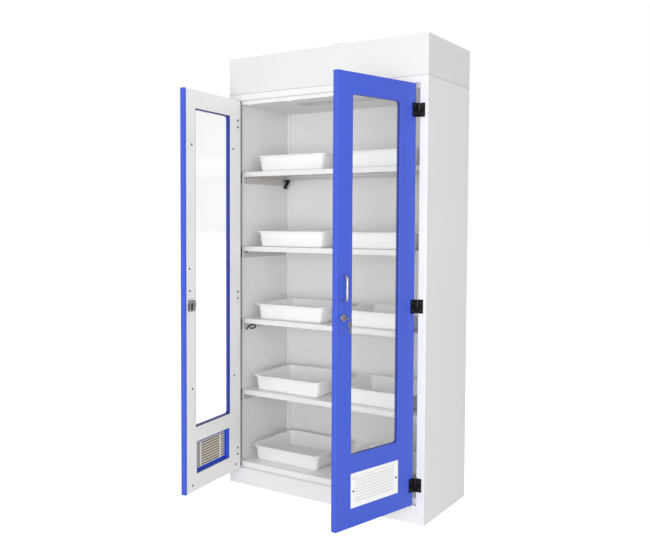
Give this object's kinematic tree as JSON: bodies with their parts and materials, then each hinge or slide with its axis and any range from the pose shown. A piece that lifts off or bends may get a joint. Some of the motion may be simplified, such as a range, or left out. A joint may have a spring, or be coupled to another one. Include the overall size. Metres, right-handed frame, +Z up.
{
  "type": "chemical storage cabinet",
  "caption": "Tall ventilated steel cabinet for chemicals: glazed, louvred hinged doors standing open, shelves with loose spill trays, a cam lock and a header box with a duct spigot.",
  "frame": {"origin": "centre of the cabinet's base on the floor", "axes": "+X to the right of someone facing the doors, +Y to the back, +Z up"},
  "size_m": [0.9, 0.814, 1.84],
  "materials": {
    "white_paint": "satin powder coat, white",
    "lining_paint": "satin powder coat, warm light grey",
    "shelf_paint": "satin powder coat, white",
    "louvre_paint": "satin powder coat, off white",
    "blue_paint": "satin powder coat, blue",
    "bead_paint": "satin powder coat, dark blue",
    "black_hinge": "black coated zinc casting",
    "black_plastic": "black moulded plastic",
    "window_glass": "clear float glass",
    "handle_steel": "satin nickel plated",
    "tray_plastic": "white moulded polypropylene",
    "keeper_zinc": "bare die casting",
    "lock_nickel": "nickel plated",
    "key_brass": "nickel brass, worn"
  },
  "bodies": {
    "carcass": {"side_skin_left": "white_paint", "side_lining_left": "lining_paint", "shelf_rails_left": "lining_paint", "hinges_frame_left": "black_hinge", "side_skin_right": "white_paint", "side_lining_right": "lining_paint", "shelf_rails_right": "lining_paint", "hinges_frame_right": "black_hinge", "plinth_front": "white_paint", "top_rail": "white_paint", "header_shell": "white_paint", "header_top": "white_paint", "base_pan": "white_paint", "back_panel": "lining_paint", "ceiling_panel": "lining_paint", "floor_deck": "lining_paint", "shelf_1": "shelf_paint", "shelf_2": "shelf_paint", "shelf_3": "shelf_paint", "shelf_4": "shelf_paint", "shelf_clip": "black_plastic"},
    "left_door": {"hinges_door_left": "black_hinge", "door_pan_left": "blue_paint", "door_liner_left": "white_paint", "glass_left": "window_glass", "glazing_bead_left": "bead_paint", "louvre_left": "louvre_paint", "handle_left": "handle_steel", "lock_keeper": "keeper_zinc"},
    "right_door": {"hinges_door_right": "black_hinge", "door_pan_right": "blue_paint", "door_liner_right": "white_paint", "glass_right": "window_glass", "glazing_bead_right": "bead_paint", "louvre_right": "louvre_paint", "handle_right": "handle_steel", "lock_cylinder": "lock_nickel"},
    "lock": {"lock_plug": "lock_nickel", "key": "key_brass"},
    "spare_key": {"spare_key": "key_brass"},
    "tray_left_1": {"tray_left_1": "tray_plastic"},
    "tray_left_2": {"tray_left_2": "tray_plastic"},
    "tray_left_3": {"tray_left_3": "tray_plastic"},
    "tray_left_4": {"tray_left_4": "tray_plastic"},
    "tray_left_5": {"tray_left_5": "tray_plastic"},
    "tray_right_1": {"tray_right_1": "tray_plastic"},
    "tray_right_2": {"tray_right_2": "tray_plastic"},
    "tray_right_3": {"tray_right_3": "tray_plastic"},
    "tray_right_4": {"tray_right_4": "tray_plastic"},
    "tray_right_5": {"tray_right_5": "tray_plastic"}
  },
  "joints": [
    {"name": "left_door_swing", "type": "hinge", "parent": "carcass", "child": "left_door", "pos_m": [-0.4135, -0.2055, 0.812], "axis": [0, 0, -1], "range_deg": [-84, 86]},
    {"name": "right_door_swing", "type": "hinge", "parent": "carcass", "child": "right_door", "pos_m": [0.4135, -0.2055, 0.812], "axis": [0, 0, 1], "range_deg": [-76, 94]},
    {"name": "lock_turn", "type": "hinge", "parent": "right_door", "child": "lock", "pos_m": [0.31611, -0.57337, 0.8], "axis": [-0.9703, 0.2419, 0], "range_deg": [0, 90]},
    {"name": "spare_key_swing", "type": "hinge", "parent": "lock", "child": "spare_key", "pos_m": [0.31611, -0.57337, 0.8], "axis": [-0.9703, 0.2419, 0], "range_deg": [-30, 30]},
    {"name": "tray_left_1_lift", "type": "slide", "parent": "carcass", "child": "tray_left_1", "axis": [0, 0, 1], "range_m": [0, 0.2]},
    {"name": "tray_left_2_lift", "type": "slide", "parent": "carcass", "child": "tray_left_2", "axis": [0, 0, 1], "range_m": [0, 0.2]},
    {"name": "tray_left_3_lift", "type": "slide", "parent": "carcass", "child": "tray_left_3", "axis": [0, 0, 1], "range_m": [0, 0.2]},
    {"name": "tray_left_4_lift", "type": "slide", "parent": "carcass", "child": "tray_left_4", "axis": [0, 0, 1], "range_m": [0, 0.2]},
    {"name": "tray_left_5_lift", "type": "slide", "parent": "carcass", "child": "tray_left_5", "axis": [0, 0, 1], "range_m": [0, 0.2]},
    {"name": "tray_right_1_lift", "type": "slide", "parent": "carcass", "child": "tray_right_1", "axis": [0, 0, 1], "range_m": [0, 0.2]},
    {"name": "tray_right_2_lift", "type": "slide", "parent": "carcass", "child": "tray_right_2", "axis": [0, 0, 1], "range_m": [0, 0.2]},
    {"name": "tray_right_3_lift", "type": "slide", "parent": "carcass", "child": "tray_right_3", "axis": [0, 0, 1], "range_m": [0, 0.2]},
    {"name": "tray_right_4_lift", "type": "slide", "parent": "carcass", "child": "tray_right_4", "axis": [0, 0, 1], "range_m": [0, 0.2]},
    {"name": "tray_right_5_lift", "type": "slide", "parent": "carcass", "child": "tray_right_5", "axis": [0, 0, 1], "range_m": [0, 0.2]}
  ]
}
